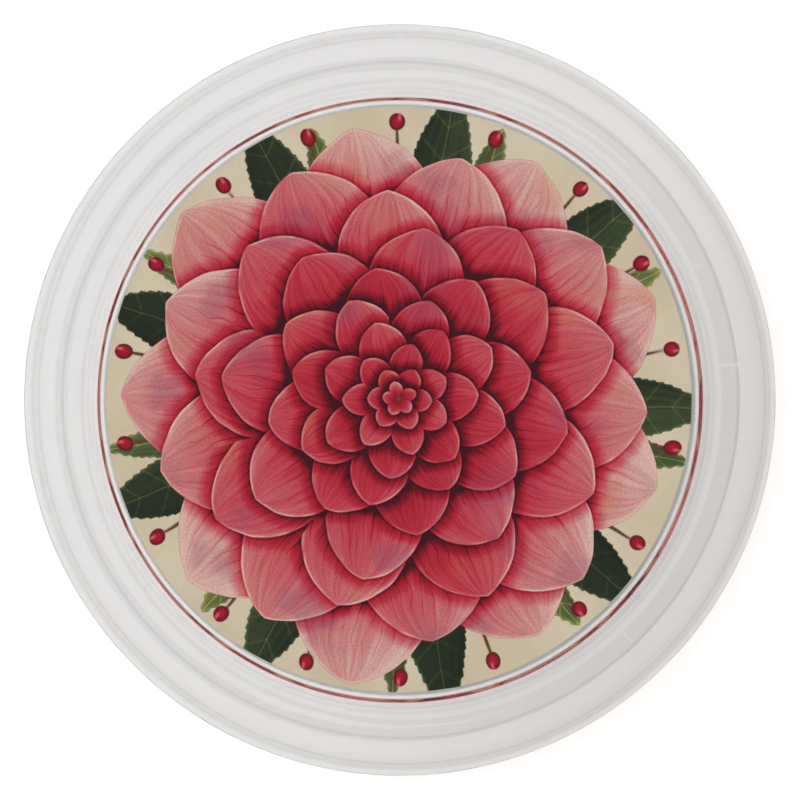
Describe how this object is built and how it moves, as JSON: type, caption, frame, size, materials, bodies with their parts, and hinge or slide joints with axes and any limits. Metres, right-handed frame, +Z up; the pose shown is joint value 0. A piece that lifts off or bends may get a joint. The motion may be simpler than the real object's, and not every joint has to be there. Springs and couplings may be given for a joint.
{
  "type": "round glass coaster dish",
  "caption": "Low round clear-glass dish with a thick floor and a fat rounded lip, over a printed flower picture and a felt pad. It holds a drink or small things.",
  "frame": {"origin": "on the dish's axis, on the surface that the felt pad stands on", "axes": "+Z up along the dish's axis, out of its open top; the dish is round, so +X and +Y are free"},
  "size_m": [0.108, 0.108, 0.0192],
  "materials": {
    "glass_dish": "clear, fire polished",
    "print_disc": "matt paper, printed with a rose and crimson flower on cream",
    "felt_pad": "dark green felt"
  },
  "bodies": {
    "root": {"glass_dish": "glass_dish", "print_disc": "print_disc", "felt_pad": "felt_pad"}
  },
  "joints": []
}
